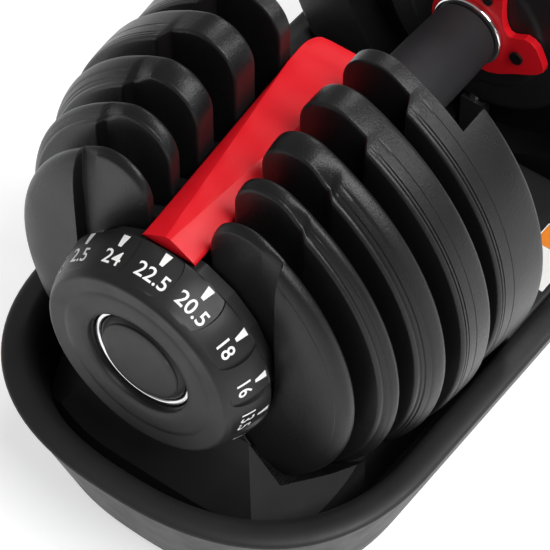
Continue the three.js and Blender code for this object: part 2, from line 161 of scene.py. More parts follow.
def turned(name, profile, segments=128):
    """A closed profile of (radius, u) in mm, turned about the shaft axis."""
    verts = []
    faces = []
    rows = []
    for radius, u in profile:
        if radius < 1e-6:
            rows.append([len(verts)] * segments)
            verts.append((u * MM, 0, 0))
            continue
        rows.append(list(range(len(verts), len(verts) + segments)))
        for i in range(segments):
            angle = TAU * i / segments
            verts.append((u * MM, radius * MM * math.cos(angle), radius * MM * math.sin(angle)))
    for a, b in zip(rows, rows[1:] + rows[:1]):
        for i in range(segments):
            j = (i + 1) % segments
            corners = [a[i], a[j], b[j], b[i]]
            face = [c for k, c in enumerate(corners) if c != corners[k - 1]]
            if len(face) > 2:
                faces.append(face)
    return face_outwards(mesh_object(name, verts, faces))


def prism(name, outline, u0, u1):
    """A closed outline of (y, w) in mm, drawn out along u."""
    count = len(outline)
    verts = [(u * MM, y * MM, w * MM) for u in (u0, u1) for y, w in outline]
    faces = [list(range(count)), list(range(2 * count - 1, count - 1, -1))]
    for i in range(count):
        j = (i + 1) % count
        faces.append([i, i + count, j + count, j])
    return face_outwards(mesh_object(name, verts, faces))


def block(name, u0, u1, y0, y1, w0, w1):
    return prism(name, [(y0, w0), (y1, w0), (y1, w1), (y0, w1)], u0, u1)


def arc(centre, radius, start, end, steps):
    """Points on an arc, angles in radians from +y towards +w."""
    return [
        (centre[0] + radius * math.cos(start + (end - start) * i / steps),
         centre[1] + radius * math.sin(start + (end - start) * i / steps))
        for i in range(steps + 1)
    ]


def circle(centre, radius, count):
    return arc(centre, radius, 0, TAU * (count - 1) / count, count - 1)


def rounded_profile(points, radii, steps=5):
    """A closed profile with each corner rounded by its own radius."""
    out = []
    count = len(points)
    for i, (point, radius) in enumerate(zip(points, radii)):
        p = Vector(point)
        before = Vector(points[i - 1]) - p
        after = Vector(points[(i + 1) % count]) - p
        if radius <= 0:
            out.append(tuple(p))
            continue
        reach = min(radius, before.length * 0.49, after.length * 0.49)
        a = p + before.normalized() * reach
        b = p + after.normalized() * reach
        for k in range(steps + 1):
            t = k / steps
            q = a * (1 - t) ** 2 + p * 2 * t * (1 - t) + b * t * t
            out.append((q.x, q.y))
    return out


END_MATRIX = {
    "right": Matrix.Translation((0, 0, AXIS_HEIGHT * MM)),
    "left": Matrix.Translation((0, 0, AXIS_HEIGHT * MM)) @ Matrix.Rotation(math.pi, 4, "Z"),
}


def place(source, name, side, material, body, node):
    """A copy of an end's piece at one side, standing for a CAD node."""
    mesh = source.data.copy()
    mesh.transform(END_MATRIX[side])
    obj = link(bpy.data.objects.new(name, mesh))
    return finish_piece(obj, material, body, node)


def finish_piece(obj, material, body, nodes):
    if material is not None:
        obj.data.materials.clear()
        obj.data.materials.append(material)
    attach(obj, body)
    if nodes:
        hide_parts(*([nodes] if isinstance(nodes, str) else nodes))
    return obj


# ---- materials ----
class Shader:
    """A small builder for a material's node tree."""

    def __init__(self, name):
        self.material = bpy.data.materials.new(name)
        self.material.use_nodes = True
        self.nodes = self.material.node_tree.nodes
        self.links = self.material.node_tree.links
        self.bsdf = self.nodes["Principled BSDF"]
        self.coords = self.nodes.new("ShaderNodeTexCoord").outputs["Object"]

    def noise(self, scale, detail=4, roughness=0.5, stretch=None):
        node = self.nodes.new("ShaderNodeTexNoise")
        node.inputs["Scale"].default_value = scale
        node.inputs["Detail"].default_value = detail
        node.inputs["Roughness"].default_value = roughness
        source = self.coords
        if stretch:
            mapping = self.nodes.new("ShaderNodeMapping")
            mapping.inputs["Scale"].default_value = stretch
            self.links.new(self.coords, mapping.inputs["Vector"])
            source = mapping.outputs["Vector"]
        self.links.new(source, node.inputs["Vector"])
        return node.outputs["Fac"]

    def ramp(self, source, low, high, start=0.35, stop=0.65):
        node = self.nodes.new("ShaderNodeValToRGB")
        node.color_ramp.elements[0].position = start
        node.color_ramp.elements[1].position = stop
        node.color_ramp.elements[0].color = low if len(low) == 4 else (*low, 1)
        node.color_ramp.elements[1].color = high if len(high) == 4 else (*high, 1)
        self.links.new(source, node.inputs["Fac"])
        return node.outputs["Color"]

    def scale(self, source, low, high):
        node = self.nodes.new("ShaderNodeMapRange")
        node.inputs["From Min"].default_value = 0.3
        node.inputs["From Max"].default_value = 0.7
        node.inputs["To Min"].default_value = low
        node.inputs["To Max"].default_value = high
        self.links.new(source, node.inputs["Value"])
        return node.outputs["Result"]

    def edges(self):
        """Bright on convex edges, where a moulded surface is rubbed."""
        geometry = self.nodes.new("ShaderNodeNewGeometry")
        node = self.nodes.new("ShaderNodeMapRange")
        node.inputs["From Min"].default_value = 0.52
        node.inputs["From Max"].default_value = 0.62
        self.links.new(geometry.outputs["Pointiness"], node.inputs["Value"])
        return node.outputs["Result"]

    def mix(self, factor, a, b):
        node = self.nodes.new("ShaderNodeMix")
        node.data_type = "RGBA"
        for socket, value in ((node.inputs["A"], a), (node.inputs["B"], b)):
            if isinstance(value, tuple):
                socket.default_value = value if len(value) == 4 else (*value, 1)
            else:
                self.links.new(value, socket)
        self.links.new(factor, node.inputs["Factor"])
        return node.outputs["Result"]

    def bump(self, *layers):
        """Layers of (height, strength, distance in mm), the first one innermost."""
        normal = None
        for height, strength, distance in layers:
            node = self.nodes.new("ShaderNodeBump")
            node.inputs["Strength"].default_value = strength
            node.inputs["Distance"].default_value = distance * MM
            self.links.new(height, node.inputs["Height"])
            if normal:
                self.links.new(normal, node.inputs["Normal"])
            normal = node.outputs["Normal"]
        self.links.new(normal, self.bsdf.inputs["Normal"])

    def colour(self, source):
        self.links.new(source, self.bsdf.inputs["Base Color"])

    def roughness(self, source):
        self.links.new(source, self.bsdf.inputs["Roughness"])


def moulded_plastic(name, dark, light, rough, grain=900, grain_strength=0.12, specular=0.5, wear=None):
    """Moulded plastic: fine spark-eroded grain, slow tone changes, and lighter rubbed edges."""
    s = Shader(name)
    tone = s.ramp(s.noise(14, 5), dark, light)
    if wear:
        rubbed = s.nodes.new("ShaderNodeMath")
        rubbed.operation = "MULTIPLY"
        s.links.new(s.edges(), rubbed.inputs[0])
        s.links.new(s.scale(s.noise(180, 4), 0.15, 0.9), rubbed.inputs[1])
        tone = s.mix(rubbed.outputs[0], tone, wear)
    s.colour(tone)
    s.roughness(s.scale(s.noise(60, 6, 0.6), rough - 0.06, rough + 0.07))
    s.bump((s.noise(grain * 0.3, 3), 0.08, 0.12), (s.noise(grain, 2, 0.6), grain_strength, 0.08))
    s.bsdf.inputs["Specular IOR Level"].default_value = specular
    return s.material


def coated_plate(name):
    """The moulded coat of a weight plate: satin black with faint flow marks and handling scuffs."""
    s = Shader(name)
    tone = s.ramp(s.noise(9, 4), (0.0075, 0.0072, 0.0077), (0.0098, 0.0094, 0.01))
    scuffs = s.ramp(s.noise(70, 8, 0.75, (1, 1, 3)), (0, 0, 0), (1, 1, 1), 0.6, 0.78)
    tone = s.mix(scuffs, tone, (0.016, 0.0153, 0.0163))
    rubbed = s.nodes.new("ShaderNodeMath")
    rubbed.operation = "MULTIPLY"
    s.links.new(s.edges(), rubbed.inputs[0])
    s.links.new(s.scale(s.noise(320, 5), 0.1, 0.9), rubbed.inputs[1])
    tone = s.mix(rubbed.outputs[0], tone, (0.045, 0.043, 0.045))
    s.colour(tone)
    s.roughness(s.scale(s.noise(35, 6, 0.6), 0.27, 0.38))
    s.bump(
        (s.noise(500, 4, 0.6), 0.55, 0.14),
        (s.noise(1100, 3, 0.7), 0.9, 0.15),
    )
    s.bsdf.inputs["Specular IOR Level"].default_value = 0.28
    return s.material


def brushed_metal(name, colour, rough, scale=(1, 40, 40)):
    s = Shader(name)
    s.bsdf.inputs["Metallic"].default_value = 1
    s.colour(s.ramp(s.noise(60, 4), tuple(c * 0.88 for c in colour), colour))
    s.roughness(s.scale(s.noise(50, 5, 0.6, scale), rough * 0.75, rough * 1.3))
    s.bump((s.noise(120, 4, 0.6, scale), 0.05, 0.05))
    return s.material


BLACK = moulded_plastic("black_moulding", (0.0105, 0.0101, 0.0108), (0.0135, 0.013, 0.0138), 0.42, specular=0.3,
                        wear=(0.05, 0.048, 0.05))
TRAY_BLACK = moulded_plastic("tray_moulding", (0.0135, 0.013, 0.0137), (0.018, 0.0174, 0.0183), 0.5,
                             grain=700, grain_strength=0.22, specular=0.36)
DISC_GREY = moulded_plastic("disc_moulding", (0.012, 0.012, 0.013), (0.02, 0.02, 0.022), 0.5)
RED = moulded_plastic("red_moulding", (0.66, 0.004, 0.012), (0.75, 0.009, 0.017), 0.42, grain=1100,
                      grain_strength=0.07, specular=0.28)
PLATE = coated_plate("plate_coat")
RUBBER = moulded_plastic("grip_rubber", (0.013, 0.0125, 0.014), (0.022, 0.021, 0.023), 0.62, grain=1500,
                         grain_strength=0.3, specular=0.22)
CHROME = brushed_metal("polished_metal", (0.83, 0.83, 0.84), 0.09)
STEEL = brushed_metal("zinc_plated_steel", (0.55, 0.55, 0.57), 0.34)
# Near-black steel for the screw heads is painted shade: it makes the screws read as dark as shaded screw holes.
SCREW_SHADE_STEEL = brushed_metal("blackened_steel", (0.07, 0.068, 0.07), 0.4)
FINE = {"grain": 2500, "grain_strength": 0.04}
PRINT = moulded_plastic("white_print", (0.80, 0.80, 0.79), (0.86, 0.86, 0.85), 0.5, **FINE)
PAPER = moulded_plastic("label_film", (0.85, 0.85, 0.83), (0.90, 0.90, 0.88), 0.4, **FINE)
ORANGE = moulded_plastic("label_band", (0.85, 0.23, 0.02), (0.90, 0.27, 0.03), 0.4, **FINE)


# ---- weight plates ----
def ease(t):
    t = min(max(t, 0.0), 1.0)
    return t * t * (3 - 2 * t)


def pocket_outline(radius, top, foot=48):
    return [(radius, top), (-radius, top)] + arc((0, 0), radius, math.pi, TAU, foot)


def pocket_depth(y, w, depth, step):
    """How far a plate's outer face is sunk at (y, w). The pocket is open above the shaft."""
    reach = abs(y) if w > 0 else math.hypot(y, w)
    return depth * ease((POCKET_RADIUS - reach) / step + 0.5)


def rim_angles(radius, rim):
    """Angles down one side of the rim, from a lobe to the bottom, close together at the pocket's edge."""
    lobe_y = SLOT_HALF + LOBE_RADIUS
    leave = math.atan2(math.sqrt((radius - LOBE_RADIUS) ** 2 - lobe_y ** 2), lobe_y)
    middle = math.acos(POCKET_RADIUS / rim)
    near = min(middle + math.radians(2.4), leave - math.radians(1))
    far = middle - math.radians(2.4)
    angles = [leave + (near - leave) * k / 9 for k in range(1, 10)]
    angles += [near + (far - near) * k / 28 for k in range(1, 29)]
    angles += [far + (-math.pi / 2 - far) * k / 80 for k in range(1, 80)]
    return leave, angles


def plate_loop(radius, rim, lobe_rim, inset, groove):
    """One closed outline of (y, w): rim radius, the lobes' own reach, and the inset of every edge."""
    leave, angles = rim_angles(radius, rim - inset)
    lobe_y = SLOT_HALF + LOBE_RADIUS
    lobe_w = math.sqrt((lobe_rim - LOBE_RADIUS) ** 2 - lobe_y ** 2)
    half = SLOT_HALF + inset
    side = [(half, lobe_w * k / 6) for k in range(6)]
    side += arc((lobe_y, lobe_w), LOBE_RADIUS - inset, math.pi, leave, 26)
    start = math.hypot(*side[-1])
    for angle in angles:
        blend = ease((leave - angle) / math.radians(7))
        cut_in = groove * ease((leave - angle) / math.radians(10) - 0.6)
        reach = start + (rim - inset - cut_in - start) * blend
        side.append((reach * math.cos(angle), reach * math.sin(angle)))
    bottom = (0, -(rim - inset - groove))
    left = [(-y, w) for y, w in reversed(side)]
    slot = arc((0, 0), half, math.pi, TAU, 24)[1:-1]
    return side + [bottom] + left + slot


def plate_levels(number, inner, outer, radius, outer_radius):
    """Rows of (u, rim radius, lobe reach, inset, groove depth) from the inner to the outer face."""
    rows = []
    round_in = 2.6
    for k in range(7):
        a = math.pi / 2 * k / 6
        rows.append((inner + round_in * (1 - math.cos(a)), radius, radius, round_in * (1 - math.sin(a)), 0))
    fall = radius - outer_radius
    round_out = 2.0
    start = inner + round_in
    stop = outer - round_out

    def barrel(u):
        t = min(max((u - start) / (outer - start), 0), 1)
        if number == 1:
            return radius - 16.5 * (1 - math.sqrt(max(0, 1 - t ** 2.4)))
        return radius - fall * t ** 1.6

    def lobe(u):
        t = min(max((u - start) / (outer - start), 0), 1)
        return radius - (3.0 if number == 1 else 0.45 * fall) * t ** 1.8

    marks = [(start + (stop - start) * k / 12, 0) for k in range(1, 13)]
    grooves = (outer - 2.2, outer - 3.7, inner + (outer - inner) * 0.56) if number > 1 else (outer - 1.9,)
    if number == 5:
        grooves = (outer - 2.2, outer - 3.7, outer - 9.5)
    for k, groove in enumerate(grooves):
        deep = 0.55 if k < 2 else 0.28
        marks = [m for m in marks if abs(m[0] - groove) > 0.6]
        marks += [(groove - 0.36, 0), (groove - 0.12, deep), (groove + 0.12, deep), (groove + 0.36, 0)]
    rows += [(u, barrel(u), lobe(u), 0, depth) for u, depth in sorted(marks)]
    u, rim, reach = rows[-1][:3]
    for k in range(1, 6):
        a = math.pi / 2 * k / 5
        shrink = round_out * (1 - math.cos(a))
        level = u + (outer - u) * math.sin(a)
        rows.append((level, barrel(level) if number == 1 else rim, reach, shrink, 0))
    return rows


def plate_cap(loop, rim, step):
    """Triangles over a face, with points close together across the pocket's edge."""
    points = [Vector(p) for p in loop]
    count = len(points)
    edges = [(i, (i + 1) % count) for i in range(count)]
    lines = [POCKET_RADIUS + step * k for k in (-0.6, -0.5, -0.36, -0.2, 0, 0.2, 0.36, 0.5, 0.6)]
    for line in lines:
        top = math.sqrt(max((rim - 0.5) ** 2 - line ** 2, 1))
        path = [(-line, top * (1 - k / 16)) for k in range(16)]
        path += arc((0, 0), line, math.pi, TAU, 60)
        path += [(line, top * k / 16) for k in range(1, 17)]
        edges += [(len(points) + k, len(points) + k + 1) for k in range(len(path) - 1)]
        points += [Vector(p) for p in path]
    verts, _, faces, _, _, _ = delaunay_2d_cdt(points, edges, [list(range(count))], 1, 1e-5)
    return verts, faces


def weight_plate(number):
    outer_radius, pocket, wing = PLATES[number]
    node = f"right_plate_{number}"
    inner = span(node, 0)[0]
    radius = span(node, 1)[1]
    thickness = PLATE_THICKNESS[number]
    outer = inner + thickness
    step = 1.5 if number == 1 else 4.5
    rows = plate_levels(number, inner, outer, radius, outer_radius)
    back = inner + wing

    def sunk(u, y, w):
        if u <= back:
            return u
        return back + (u - back) * (1 - pocket_depth(y, w, pocket, step) / (outer - back))

    verts = []
    faces = []
    loops = []
    for u, rim, reach, inset, groove in rows:
        loop = plate_loop(radius, rim, reach, inset, groove)
        loops.append(loop)
        verts += [(sunk(u, y, w) * MM, y * MM, w * MM) for y, w in loop]
    count = len(loops[0])
    for level in range(len(rows) - 1):
        for i in range(count):
            j = (i + 1) % count
            faces.append([level * count + i, level * count + j, (level + 1) * count + j, (level + 1) * count + i])
    faces.append(list(range(count))[::-1])
    cap, triangles = plate_cap(loops[-1], rows[-1][1] - rows[-1][3], step)
    base = len(verts)
    verts += [(sunk(outer, v.x, v.y) * MM, v.x * MM, v.y * MM) for v in cap]
    faces += [[base + i for i in face] for face in triangles]
    plate = mesh_object(f"plate_{number}", verts, faces)
    bm = bmesh.new()
    bm.from_mesh(plate.data)
    bmesh.ops.remove_doubles(bm, verts=bm.verts, dist=0.0000005)
    bmesh.ops.recalc_face_normals(bm, faces=bm.faces)
    bm.to_mesh(plate.data)
    bm.free()
    if wing:
        cut(plate, prism("wing", pocket_outline(WING_INNER, radius + 8), inner - 2, back))
        cut(plate, block("notch", inner - 2, back, -9, 9, -radius - 2, -WING_INNER + 5))
    floor = outer - pocket
    join(plate, block("tab", floor - 1, floor + 3.2, -5, 5, -45, -41.5))
    return smooth(plate, 32)


for plate_number in PLATES:
    source = weight_plate(plate_number)
    for side in SIDES:
        body = f"{side}_plate_{plate_number}"
        place(source, f"{side}_weight_plate_{plate_number}", side, PLATE, body, body)
    bpy.data.objects.remove(source)


# ---- dial ----
DIAL_SETTINGS = ("2.5", "24", "22.5", "20.5", "18", "16", "13.5", "11.5", "10", "9", "8", "6.5", "5.5", "4.5", "3.5")
DIAL_STEP = TAU / len(DIAL_SETTINGS)
FIRST_SETTING = math.radians(45.5)     # from +Y over the top, seen on the left end
DIAL_WIDTH = DIAL_FACE - DIAL_START
SIDE_LENGTH = 20.4                     # the part of the side that carries the scallops
SCALLOP_DEPTH = 1.35
SCALLOP_START = 10.2                   # before the setting, round the dial
DIAL_POCKET = 26.0                     # radius of the pocket that takes the trim ring and the cap
DIAL_POCKET_FLOOR = 12.5
DIAL_BORE = 7
PRINT_LIFT = 0.09


def dial_side(v):
    """Radius and distance from the dial's rear edge along its side, v from 0 at the rear to 1."""
    u = v * SIDE_LENGTH
    radius = DIAL_RADIUS - 5.6 * v ** 1.9
    return radius, u


def scallop(phi, v):
    """How far the side is pressed in, phi in mm round the dial from the setting, v along the side."""
    across = (v - 0.47) / 0.50
    if abs(across) >= 1:
        return 0.0
    crease = crease_at(v)
    if phi > crease + 0.2:
        return 0.0
    ramp = ease((phi + SCALLOP_START) / (crease + SCALLOP_START))
    return SCALLOP_DEPTH * ramp * (1 - across * across) ** 0.55


def crease_at(v):
    across = min(abs((v - 0.47) / 0.50), 1)
    return 4.2 + 5.6 * math.sqrt(1 - across * across)


def dial_point(phi_mm, v, setting_angle, lift=0.0):
    """A point on the left dial's side, in the end's own frame, in mm."""
    radius, u = dial_side(v)
    radius = radius - scallop(phi_mm, v) + lift
    angle = setting_angle + phi_mm / DIAL_RADIUS
    return DIAL_START + u, radius, angle


def end_vertex(u, radius, angle):
    """Angles run from +Y over the top on the left end, which is -y in the end's own frame."""
    return (u * MM, -radius * MM * math.cos(angle), radius * MM * math.sin(angle))


def dial_mesh():
    pitch = DIAL_RADIUS * DIAL_STEP
    columns = []
    for k in range(len(DIAL_SETTINGS)):
        angle = FIRST_SETTING + k * DIAL_STEP
        columns += [(angle, i) for i in range(32)]
    rows = 34

    def phi_of(i, v):
        crease = crease_at(v)
        half = pitch / 2
        if i <= 24:
            return -half + (crease + half) * i / 24
        if i == 25:
            return crease + 0.32
        return crease + 0.32 + (half - crease - 0.32) * (i - 25) / 7

    verts = []
    rings = []

    def ring(points):
        rings.append(list(range(len(verts), len(verts) + len(points))))
        verts.extend(points)

    def plain_ring(radius, u):
        ring([end_vertex(DIAL_START + u, radius, angle + phi_of(i, 0.0) / DIAL_RADIUS) for angle, i in columns])

    plain_ring(DIAL_BORE, 0)
    plain_ring(DIAL_RADIUS - 1.6, 0)
    plain_ring(DIAL_RADIUS - 0.7, 0.15)
    plain_ring(DIAL_RADIUS - 0.2, 0.5)
    for row in range(rows + 1):
        v = 0.045 + (1 - 0.045) * row / rows
        points = []
        for angle, i in columns:
            points.append(end_vertex(*dial_point(phi_of(i, v), v, angle)))
        ring(points)
    last_radius, last_u = dial_side(1)
    face = DIAL_WIDTH
    rim = rounded_profile([(last_radius, last_u), (last_radius - 1.6, face - 0.25), (39.4, face - 0.9)],
                          [0, 2.2, 0], 7)[1:]
    for radius, u in rim:
        plain_ring(radius, u)
    for radius, u in ((38.6, face - 0.88), (37.8, face - 0.66), (37.0, face - 0.52), (36.0, face - 0.46),
                      (30.0, face - 0.5), (27.6, face - 0.75), (26.7, face - 1.2), (26.2, face - 2.0),
                      (DIAL_POCKET, face - 3.2), (DIAL_POCKET, DIAL_POCKET_FLOOR), (DIAL_BORE, DIAL_POCKET_FLOOR)):
        plain_ring(radius, u)
    count = len(columns)
    faces = []
    for a, b in zip(rings, rings[1:] + rings[:1]):
        for i in range(count):
            j = (i + 1) % count
            faces.append([a[i], a[j], b[j], b[i]])
    return smooth(face_outwards(mesh_object("dial", verts, faces)), 30)


def wedge_mark(angle):
    """The pointer above a number: wide at the dial's rear edge."""
    verts = []
    rows = 7
    for row in range(rows + 1):
        t = row / rows
        v = (1.5 + 5.9 * t) / SIDE_LENGTH
        half = 1.85 - 0.95 * t
        for column in range(5):
            phi = half * (column / 2 - 1)
            verts.append(end_vertex(*dial_point(phi, v, angle, PRINT_LIFT)))
    faces = []
    for row in range(rows):
        for column in range(4):
            a = row * 5 + column
            faces.append([a, a + 1, a + 6, a + 5])
    return verts, faces


def number_mesh(text, angle):
    """A printed number, laid on the dial's side with its top towards the handle."""
    curve = bpy.data.curves.new("number", "FONT")
    curve.body = text
    curve.size = 8.9
    curve.offset = 0.1
    curve.align_x = "CENTER"
    curve.space_character = 1.04
    curve.resolution_u = 6
    obj = link(bpy.data.objects.new("number", curve))
    graph = bpy.context.evaluated_depsgraph_get()
    mesh = bpy.data.meshes.new_from_object(obj.evaluated_get(graph))
    bpy.data.objects.remove(obj)
    bm = bmesh.new()
    bm.from_mesh(mesh)
    bmesh.ops.triangulate(bm, faces=bm.faces)
    for _ in range(2):
        long_edges = [e for e in bm.edges if e.calc_length() > 1.2]
        bmesh.ops.subdivide_edges(bm, edges=long_edges, cuts=1)
        bmesh.ops.triangulate(bm, faces=bm.faces)
    baseline = 15.6
    verts = []
    for vert in bm.verts:
        v = (baseline - vert.co.y) / SIDE_LENGTH
        verts.append(end_vertex(*dial_point(vert.co.x * 1.08, v, angle, PRINT_LIFT)))
    faces = [[v.index for v in f.verts] for f in bm.faces]
    bm.free()
    return verts, faces


def dial_print():
    verts = []
    faces = []
    for k, text in enumerate(DIAL_SETTINGS):
        angle = FIRST_SETTING + k * DIAL_STEP
        for part in (wedge_mark(angle), number_mesh(text, angle)):
            faces += [[i + len(verts) for i in face] for face in part[1]]
            verts += part[0]
    obj = mesh_object("dial_print", verts, faces)
    # Each face looks away from the shaft.
    bm = bmesh.new()
    bm.from_mesh(obj.data)
    for face in bm.faces:
        centre = face.calc_center_median()
        if face.normal.y * centre.y + face.normal.z * centre.z < 0:
            face.normal_flip()
    bm.to_mesh(obj.data)
    bm.free()
    return obj


def trim_ring_mesh():
    start, end = span("right_trim_ring", 0)
    profile = rounded_profile([(22.9, start), (25.6, start), (25.6, end - 0.6), (25.2, end), (23.6, end),
                               (22.9, end - 0.9)], [0.2, 0.2, 0.5, 0.4, 0.4, 0.5], 4)
    return smooth(turned("trim_ring", profile, 128), 50)


def dial_cap_mesh():
    start, end = span("right_dial_cap", 0)
    profile = [(0, start), (22.3, start), (22.4, end - 3.1), (21.6, end - 2.3)]
    crown = [(20.2, end - 2.1), (19.9, end - 0.4), (17, end - 0.05), (0, end)]
    profile += rounded_profile(crown, [0, 1.6, 1.2, 0], 6)[1:]
    return smooth(turned("dial_cap", profile, 128), 40)


dial_source = dial_mesh()
print_source = dial_print()
ring_source = trim_ring_mesh()
cap_source = dial_cap_mesh()
for side in SIDES:
    body = f"{side}_dial"
    place(dial_source, f"{side}_selector_dial", side, BLACK, body, f"{side}_dial")
    place(print_source, f"{side}_dial_print", side, PRINT, body, None)
    place(ring_source, f"{side}_dial_trim", side, CHROME, body, f"{side}_trim_ring")
    place(cap_source, f"{side}_dial_centre", side, BLACK, body, f"{side}_dial_cap")
for source in (dial_source, print_source, ring_source, cap_source):
    bpy.data.objects.remove(source)


# ---- bridge ----
SPINE_NEAR = DIAL_START - 1.6


def spine_section(t):
    """The spine's section at t from 0 at the dial to 1 at the hand end, as (y, w) in mm."""
    grow = min(t / 0.82, 1)
    half = 13.6 + 0.9 * t
    ridge = 58.8 + 13.2 * min(t / 0.9, 1)
    eave = 52.4 + 19.0 * min(t / 0.9, 1)
    flat = 1.2 + (half - 2.2) * grow
    wave = 0.14 * math.sin(TAU * t * 6.5) * min(1, 6 * t)
    bottom = 50.9 + 9 * t
    right = [(half - 1.0, bottom), (half, bottom + 0.9), (half + 0.1, eave - 1.6), (half - 0.15, eave - 0.6),
             (half - 0.8, eave + 0.1)]
    top = []
    for k in range(1, 5):
        s = k / 5
        y = (half - 0.8) + (flat + 0.6 - half + 0.8) * s
        top.append((y, eave + 0.1 + (ridge - eave - 0.2) * s))
    top.append((flat + 0.15, ridge - 0.08))
    middle = [(flat * (1 - k / 4), ridge + wave) for k in range(1, 4)]
    points = right + top + middle + [(0, ridge + wave)]
    return points + [(-y, w) for y, w in reversed(points[:-1])]


def spine_mesh():
    verts = []
    steps = 96
    corner = 11
    length = SPINE_NEAR - INNER_FACE
    for i in range(steps + 1):
        t = i / steps
        u = SPINE_NEAR - t * length
        narrow = 1.0
        if u - INNER_FACE < corner:
            d = (corner - (u - INNER_FACE)) / corner
            narrow = 1 - 0.42 * (1 - math.sqrt(max(0, 1 - d * d)))
        drop = 2.2 * (1 - narrow) / 0.42
        section = spine_section(t)
        verts += [(u * MM, y * narrow * MM, (w - drop) * MM) for y, w in section]
    count = len(spine_section(0))
    faces = [list(range(count)), list(range(steps * count, (steps + 1) * count))[::-1]]
    for i in range(steps):
        for j in range(count):
            k = (j + 1) % count
            faces.append([i * count + j, i * count + k, (i + 1) * count + k, (i + 1) * count + j])
    return face_outwards(mesh_object("spine", verts, faces))


END_PLATE = 4
EAR_Y = 26.5
EAR_W = -2.6
STRIP_Y = 9
STRIP_W = 24


def end_plate_outline():
    """The end plate in (y, w): a strip up to the spine, a ring at the collar, and one ear."""
    ear = [(-14, 68), (-16.5, 26), (-16.6, 20), (-17.2, 14.5), (-18.4, 10.5), (-20.2, 8.0), (-22.5, 7.6), (-26, 9.2),
           (-29.5, 10.9), (-33, 10.4), (-36.2, 8.2), (-38.6, 4), (-40.8, -1), (-40.6, -4), (-38, -7), (-33.5, -10),
           (-25, -14.6), (-17.5, -19.4), (-12, -21.6), (-4, -22.3)]
    ring = arc((0, 0), 21.2, math.radians(-70), math.radians(36), 14)
    return ear + ring + [(16.6, 20), (16.5, 26), (14, 68)]


SCREW_HOLES = ((-EAR_Y, EAR_W, 2.0), (-STRIP_Y, STRIP_W, 1.5), (STRIP_Y, STRIP_W, 1.5))


def drilled(solid, u0, u1):
    for y, w, radius in SCREW_HOLES:
        cut(solid, prism("screw_hole", circle((y, w), radius, 20), u0, u1))
    return solid


def bridge_mesh():
    before, beyond = INNER_FACE - 2, INNER_FACE + END_PLATE + 2
    plate = prism("end_plate", end_plate_outline(), INNER_FACE, INNER_FACE + END_PLATE)
    cut(plate, turned("hole", [(0, before), (BORE, before), (BORE, beyond), (0, beyond)], 64))
    drilled(plate, before, beyond)
    bevelled(plate, 0.7, 40, 3)
    spine = spine_mesh()
    join(spine, plate)
    return smooth(spine, 14)


bridge_source = bridge_mesh()
for side in SIDES:
    place(bridge_source, f"{side}_red_bridge", side, RED, "handle", f"{side}_bridge")
bpy.data.objects.remove(bridge_source)


# ---- inner end, collar and grip ----
PIN_HOLE_RADIUS = 3.2
PIN_HOLE_TOP = -24.7


def inner_disc_mesh():
    start, end = span("right_inner_disc", 0)
    radius = span("right_inner_disc", 1)[1]
    profile = rounded_profile(
        [(BORE, start), (34.6, start), (37.6, start + 1.8), (radius - 3, start + 2.3), (radius, start + 4.4),
         (radius, end), (BORE, end)],
        [0.3, 1.2, 1.4, 1.6, 1.6, 0.8, 0.3], 5)
    disc = turned("inner_disc", profile, 128)
    pin = (start + end) / 2
    shaft = prism("pin_hole", circle((0, 0), PIN_HOLE_RADIUS, 24), -radius - 6, PIN_HOLE_TOP)
    shaft.data.transform(Matrix.Rotation(-math.pi / 2, 4, "Y"))
    shaft.data.transform(Matrix.Translation((pin * MM, 0, 0)))
    cut(disc, shaft)
    drilled(disc, start - 2, start + 6)
    return smooth(disc, 35)


def collar_mesh():
    start, end = span("right_collar", 0)
    profile = rounded_profile([(BORE, start), (18.0, start), (18.6, start + 0.8), (18.6, end), (BORE, end)],
                              [0.2, 0.6, 0.6, 0.3, 0.2], 4)
    return smooth(turned("collar", profile, 96), 45)


def grip_mesh():
    end_radius = 16.5
    rounding = 1.4
    profile = [(BORE, -GRIP_END), (15.6, -GRIP_END), (16.2, -GRIP_END + 0.5), (end_radius, -GRIP_END + rounding)]
    steps = 48
    for k in range(1, steps):
        x = (GRIP_END - rounding) * (2 * k / steps - 1)
        bulge = 1 - abs(x / GRIP_END) ** 2.6
        profile.append((end_radius + (GRIP_RADIUS - end_radius) * bulge, x))
    profile += [(end_radius, GRIP_END - rounding), (16.2, GRIP_END - 0.5), (15.6, GRIP_END), (BORE, GRIP_END)]
    obj = turned("rubber_grip", profile, 128)
    obj.data.transform(END_MATRIX["right"])
    return smooth(obj, 40)


inner_source = inner_disc_mesh()
collar_source = collar_mesh()
for side in SIDES:
    place(inner_source, f"{side}_inner_cover", side, BLACK, "handle", f"{side}_inner_disc")
    place(collar_source, f"{side}_grip_collar", side, CHROME, "handle", f"{side}_collar")
bpy.data.objects.remove(inner_source)
bpy.data.objects.remove(collar_source)
finish_piece(grip_mesh(), RUBBER, "handle", "grip")


# ---- tray ----
END_LENGTH = 96
END_EXPONENT = 2.4
RIM_HEIGHT = 65.5
RIM_WIDTH = 14
SEAM_HEIGHT = 61
FOOT_HEIGHT = 3
BASIN_FLOOR = 10
CRADLE_HEIGHT = 42
DECK_HEIGHT = 62.6
DECK_HALF = 46


def tray_outline(inset):
    per_end = 56
    a = END_LENGTH - inset
    b = TRAY_HALF_WIDTH - inset
    straight = TRAY_HALF_LENGTH - END_LENGTH
    points = []
    for side in (1, -1):
        for i in range(per_end + 1):
            angle = -math.pi / 2 + math.pi * i / per_end
            c = abs(math.cos(angle)) ** (2 / END_EXPONENT)
            s = math.copysign(abs(math.sin(angle)) ** (2 / END_EXPONENT), math.sin(angle))
            points.append((side * (straight + a * c), side * b * s))
    return points


